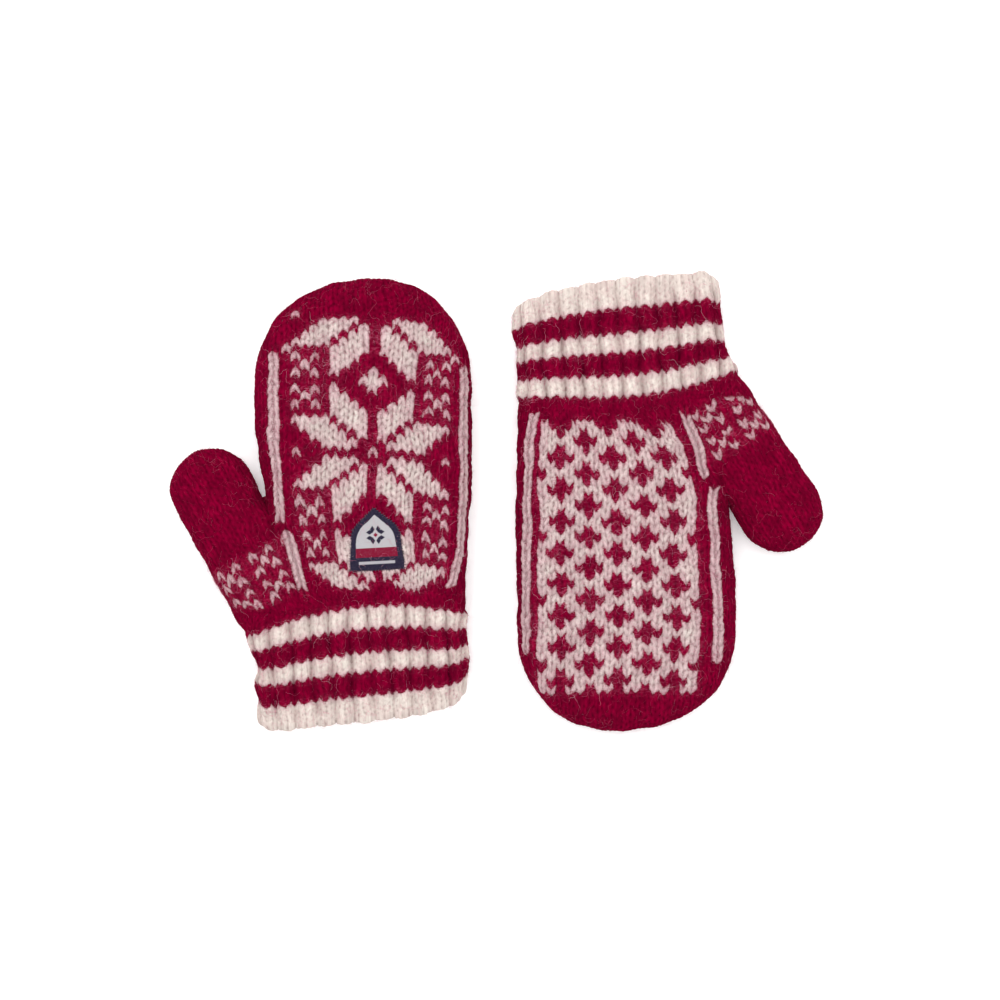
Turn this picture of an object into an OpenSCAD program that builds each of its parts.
// A pair of lined, knitted mittens lying flat side by side.
// The right-hand mitten shows its back and points away (+Y). The left-hand mitten shows its palm
// and points the other way. Both are drawn by the same modules in a mitten's own frame: +Y runs
// from the wrist to the fingertips, the thumb is on the -X side and the underside is at z = 0.

/* [Hand] */
// Width across the knuckles
hand_w = 91.4; // [84:0.2:98]
// Width at the wrist
wrist_w = 86; // [80:0.5:92]
// Length from the wrist to the fingertips
hand_l = 137.3; // [128:0.1:146]
// Length of the rounded fingertip end
tip_l = 47.3; // [40:0.1:54]
// Squareness of the fingertip end: 2 is an ellipse
tip_power = 2.2; // [2:0.1:2.6]
// Thickness of the stuffed, flat-lying hand
hand_h = 20; // [18:0.5:24]
// Thickness at the fingertips as a share of the hand's
tip_flat = 0.8; // [0.75:0.01:1]

/* [Thumb] */
// Distance of the thumb tip's centre from the hand's middle line
thumb_tip_x = 64.3; // [62:0.1:66]
// Distance of the thumb tip's centre from the wrist
thumb_tip_y = 49.5; // [48:0.1:52]
// Radius of the thumb tip
thumb_tip_r = 16; // [15.5:0.1:16.5]
// Radius of the thumb's root
thumb_root_r = 19; // [18:0.1:19.5]
// Thickness of the thumb
thumb_h = 19; // [17.5:0.5:19.5]

/* [Cuff] */
// Width across the cuff
cuff_w = 88.6; // [84:0.2:92]
// Length of the cuff on the hand's middle line
cuff_l = 45; // [38:0.5:56]
// Slope of the wrist line, in degrees
wrist_slope = 7.5; // [0:0.5:10]
// Thickness at the cuff's mouth as a share of the hand's
mouth_flat = 0.85; // [0.8:0.01:1]

/* [Layers] */
// Thickness of the knitted outer layer
knit_t = 3; // [2.4:0.1:3.4]
// Thickness of the lining
lining_t = 1.8; // [1.2:0.1:2]
// Air between the knit and the lining
layer_gap = 0.2; // [0.1:0.05:0.3]
// Clearance between parts that bend against each other
bend_gap = 0.5; // [0.3:0.1:0.8]

/* [Patch] */
// Width of the sewn patch
patch_w = 22; // [18:0.5:26]
// Height of the patch's straight sides
patch_side = 17; // [14:0.5:20]
// Height of the patch's pointed end
patch_point = 9.5; // [6:0.5:12]
// Thickness of the patch
patch_t = 0.8; // [0.6:0.1:1]
// Length of one stitch round the patch
stitch_l = 1.6; // [1.2:0.1:2]

/* [Hidden] */

// Where each mitten's own frame sits in the pair's frame
right_place = [-56.1, -43.3];
left_place = [55, 41.2];
// How far each cuff leans towards +X at its mouth, and the slope of its mouth in degrees
right_lean = -1;
left_lean = 4.5;
right_mouth_slope = 7.5;
left_mouth_slope = 10;

// Lines across which the mitten bends
finger_fold_y = 72;
wrist_y = -3;
thumb_line_low = [-54.6, -5];
thumb_line_high = [-44.6, 46];
thumb_root = [-31, -10];

// Depths of the layer surfaces below the outside
lining_out = knit_t + layer_gap;
cavity = lining_out + lining_t;
// The seam that holds the lining at the mouth, measured from the mouth
seam_from = 3.4;
seam_to = 4.8;
lining_from = 5;

// Patch place on the back of the hand, and the stitches round it
patch_at = [5.5, 16];
stitch_w = 0.5;
stitch_h = 0.35;
stitch_pitch = 2.6;
stitch_inset = 1;
recess_gap = 0.2;

knit_red = [0.56, 0.02, 0.16];
knit_cream = [0.86, 0.8, 0.77];
lining_colour = [0.16, 0.15, 0.2];
patch_navy = [0.14, 0.13, 0.22];
thread_colour = [0.8, 0.76, 0.7];

// Rings of a pillow from its underside to its top, as angles round its edge
edge_angles = [-90, -60, -30, 0, 30, 60, 90];
// Stations up the side of the hand, from past the mouth to where the tip begins
side_y = [-85, -45, -25, -8, 15, 35, 55, 75];
// Steps round the fingertips, round the thumb tip and round each half of its root
tip_steps = 15;
cap_steps = 9;
root_steps = 4;
far = 400;

function smooth(t) = let (c = min(max(t, 0), 1)) c * c * (3 - 2 * c);
function mix(a, b, t) = a + (b - a) * t;
function unit(v) = v / norm(v);
function round_point(centre, r, a) = centre + r * [cos(a), sin(a)];

// Half the width of the hand at y, and how far its middle leans there
function half_width(y) = y < 0
    ? mix(wrist_w / 2, cuff_w / 2, smooth(-y / 25))
    : mix(wrist_w / 2, hand_w / 2, smooth(y / 60));
function middle(y, lean) = lean * smooth(-y / 45);
// Share of the full thickness that is left at y
function flatness(y) = y > 80
    ? mix(1, tip_flat, smooth((y - 80) / (hand_l - 80)))
    : mix(1, mouth_flat, smooth((-8 - y) / 42));

function power_arc(c) = sign(c) * pow(abs(c), 2 / tip_power);
function tip_point(a) = [hand_w / 2 * power_arc(cos(a)), hand_l - tip_l + tip_l * power_arc(sin(a))];

// The hand's outline, up its +X side, round the fingertips and down its -X side
function hand_outline(lean) = [
    for (y = side_y) [middle(y, lean) + half_width(y), y],
    for (i = [0 : tip_steps]) tip_point(180 * i / tip_steps),
    for (i = [len(side_y) - 1 : -1 : 0]) let (y = side_y[i]) [middle(y, lean) - half_width(y), y]
];

// An outline moved inwards by d, with its two ends kept on their own y
function inset(points, d) = [
    for (i = [0 : len(points) - 1])
        let (
            end = i == 0 || i == len(points) - 1,
            along = end ? [0, i == 0 ? 1 : -1] : unit(points[i + 1] - points[i - 1])
        )
        points[i] + d * [-along.y, along.x]
];

// The thumb's outline: two round ends joined by straight sides, moved inwards by d
function thumb_outline(d) =
    let (
        tip = [-thumb_tip_x, thumb_tip_y],
        run = thumb_root - tip,
        lean = atan2(run.y, run.x),
        spread = acos((thumb_tip_r - thumb_root_r) / norm(run)),
        root_turn = spread / (2 * root_steps + 1)
    )
    [
        for (i = [0 : root_steps])
            round_point(thumb_root, thumb_root_r - d, lean + root_turn * (2 * i + 1)),
        for (i = [0 : cap_steps])
            round_point(tip, thumb_tip_r - d, lean + spread + (360 - 2 * spread) * i / cap_steps),
        for (i = [root_steps : -1 : 0])
            round_point(thumb_root, thumb_root_r - d, lean - root_turn * (2 * i + 1))
    ];

function ring(points, z) = [for (p = points) [p.x, p.y, z * flatness(p.y)]];

// Depth and height of one ring of a pillow of thickness h whose surface lies d below the outside
function ring_depth(h, d, a) = d + (h / 2 - d) * (1 - cos(a));
function ring_height(h, d, a) = h / 2 + (h / 2 - d) * sin(a);

function wall_faces(n, rings) = [
    for (k = [0 : rings - 2], i = [0 : n - 1])
        let (a = k * n + i, b = k * n + (i + 1) % n, c = a + n, e = b + n)
        each [[a, c, b], [b, c, e]]
];
// A cap made of a strip between opposite points, so that it can bend with the thickness
function cap_faces(n, first, flip) = [
    for (i = [0 : n / 2 - 2])
        let (a = first + i, b = first + i + 1, c = first + n - 2 - i, e = first + n - 1 - i)
        each flip ? [[a, c, b], [a, e, c]] : [[a, b, c], [a, c, e]]
];

module pillow(rings) {
    n = len(rings[0]);
    polyhedron(
        points = [for (r = rings) each r],
        faces = concat(
            wall_faces(n, len(rings)),
            cap_faces(n, 0, false),
            cap_faces(n, n * (len(rings) - 1), true)
        )
    );
}

module hand(d, lean) {
    pillow([
        for (a = edge_angles)
            ring(inset(hand_outline(lean), ring_depth(hand_h, d, a)), ring_height(hand_h, d, a))
    ]);
}

module thumb(d) {
    pillow([
        for (a = edge_angles)
            ring(thumb_outline(ring_depth(thumb_h, d, a)), ring_height(thumb_h, d, a))
    ]);
}

// Everything on the +Y side of a line through p at a slope
module above(p, slope) {
    translate([p.x, p.y, 0]) rotate(slope) translate([-far, 0, -far]) cube([2 * far, far, 2 * far]);
}

// Everything on the thumb's side, or on the hand's side, of the thumb line
module beside_thumb_line(thumb_side, gap) {
    run = thumb_line_high - thumb_line_low;
    translate([thumb_line_low.x, thumb_line_low.y, 0])
        rotate(atan2(run.y, run.x))
            translate([-far, thumb_side ? gap : -gap - far, -far])
                cube([2 * far, far, 2 * far]);
}

module from_wrist() {
    above([0, wrist_y + bend_gap / 2], wrist_slope);
}

module to_fingers() {
    mirror([0, 1, 0]) above([0, -finger_fold_y + bend_gap / 2], 0);
}

// One layer of each section, between two depths below the outside
module finger_layer(outer, inner, lean) {
    difference() {
        intersection() {
            hand(outer, lean);
            above([0, finger_fold_y + bend_gap / 2], 0);
        }
        hand(inner, lean);
    }
}

module palm_layer(outer, inner, lean) {
    difference() {
        intersection() {
            union() {
                hand(outer, lean);
                intersection() {
                    thumb(outer);
                    beside_thumb_line(false, bend_gap / 2);
                }
            }
            from_wrist();
            to_fingers();
        }
        hand(inner, lean);
        thumb(inner);
    }
}

module thumb_layer(outer, inner, lean) {
    difference() {
        intersection() {
            thumb(outer);
            beside_thumb_line(true, bend_gap / 2);
        }
        hand(-bend_gap, lean);
        thumb(inner);
    }
}

// The cuff between two distances from its mouth
module cuff_layer(outer, inner, lean, mouth_slope, start, end) {
    difference() {
        intersection() {
            union() {
                hand(outer, lean);
                thumb(outer);
            }
            above([0, wrist_y - cuff_l + start], mouth_slope);
        }
        hand(inner, lean);
        thumb(inner);
        if (end > 0)
            above([0, wrist_y - cuff_l + end], mouth_slope);
        above([0, wrist_y - bend_gap / 2], wrist_slope);
    }
}

module mouth_seam(lean, mouth_slope) {
    color(thread_colour)
        cuff_layer(lining_out, cavity, lean, mouth_slope, seam_from, seam_to);
}

// The patch's outline: straight sides that end in a point towards the fingertips
function patch_corners(d) = [
    [-patch_w / 2 + d, d],
    [patch_w / 2 - d, d],
    [patch_w / 2 - d, patch_side],
    [0, patch_side + patch_point - d],
    [-patch_w / 2 + d, patch_side]
];

module patch_plate(d, z, t) {
    translate([patch_at.x, patch_at.y, z]) linear_extrude(t) polygon(patch_corners(d));
}

// Short stitches in a row along every edge of the patch
module patch_stitches(z) {
    corners = patch_corners(stitch_inset);
    color(thread_colour)
        translate([patch_at.x, patch_at.y, z])
            for (k = [0 : len(corners) - 1])
                let (
                    a = corners[k],
                    run = corners[(k + 1) % len(corners)] - a,
                    count = floor((norm(run) - stitch_l) / stitch_pitch),
                    turn = atan2(run.y, run.x)
                )
                for (i = [0 : count - 1])
                    translate(a + run * (i + 0.5) / count)
                        rotate(turn)
                            translate([-stitch_l / 2, -stitch_w / 2, 0])
                                cube([stitch_l, stitch_w, stitch_h]);
}

module place_right() {
    translate([right_place.x, right_place.y, 0]) children();
}

module place_left() {
    translate([left_place.x, left_place.y, 0]) rotate(180) children();
}

// The right-hand mitten, back upwards
module right_palm_shell() {
    color(knit_red) place_right() palm_layer(0, knit_t, right_lean);
}

module right_palm_lining() {
    color(lining_colour) place_right() palm_layer(lining_out, cavity, right_lean);
}

module right_finger_shell() {
    color(knit_red) place_right() finger_layer(0, knit_t, right_lean);
}

module right_finger_lining() {
    color(lining_colour) place_right() finger_layer(lining_out, cavity, right_lean);
}

module right_thumb_shell() {
    color(knit_red) place_right() thumb_layer(0, knit_t, right_lean);
}

module right_thumb_lining() {
    color(lining_colour) place_right() thumb_layer(lining_out, cavity, right_lean);
}

module right_cuff_shell() {
    color(knit_cream) place_right() cuff_layer(0, knit_t, right_lean, right_mouth_slope, 0, 0);
}

module right_cuff_lining() {
    color(lining_colour)
        place_right()
            cuff_layer(lining_out, cavity, right_lean, right_mouth_slope, lining_from, 0);
}

module right_mouth_seam() {
    place_right() mouth_seam(right_lean, right_mouth_slope);
}

module right_patch() {
    color(patch_navy) place_right() patch_plate(0, hand_h, patch_t);
}

module right_patch_stitches() {
    place_right() patch_stitches(hand_h + patch_t);
}

// The left-hand mitten, palm upwards, with its patch let into the underside
module left_palm_shell() {
    color(knit_red)
        place_left()
            difference() {
                palm_layer(0, knit_t, left_lean);
                patch_plate(-recess_gap, -patch_t, 2 * patch_t + stitch_h);
            }
}

module left_palm_lining() {
    color(lining_colour) place_left() palm_layer(lining_out, cavity, left_lean);
}

module left_finger_shell() {
    color(knit_red) place_left() finger_layer(0, knit_t, left_lean);
}

module left_finger_lining() {
    color(lining_colour) place_left() finger_layer(lining_out, cavity, left_lean);
}

module left_thumb_shell() {
    color(knit_red) place_left() thumb_layer(0, knit_t, left_lean);
}

module left_thumb_lining() {
    color(lining_colour) place_left() thumb_layer(lining_out, cavity, left_lean);
}

module left_cuff_shell() {
    color(knit_cream) place_left() cuff_layer(0, knit_t, left_lean, left_mouth_slope, 0, 0);
}

module left_cuff_lining() {
    color(lining_colour)
        place_left()
            cuff_layer(lining_out, cavity, left_lean, left_mouth_slope, lining_from, 0);
}

module left_mouth_seam() {
    place_left() mouth_seam(left_lean, left_mouth_slope);
}

module left_patch() {
    color(patch_navy) place_left() patch_plate(0, stitch_h, patch_t);
}

module left_patch_stitches() {
    place_left() patch_stitches(0);
}

right_palm_shell();
right_palm_lining();
right_finger_shell();
right_finger_lining();
right_thumb_shell();
right_thumb_lining();
right_cuff_shell();
right_cuff_lining();
right_mouth_seam();
right_patch();
right_patch_stitches();
left_palm_shell();
left_palm_lining();
left_finger_shell();
left_finger_lining();
left_thumb_shell();
left_thumb_lining();
left_cuff_shell();
left_cuff_lining();
left_mouth_seam();
left_patch();
left_patch_stitches();
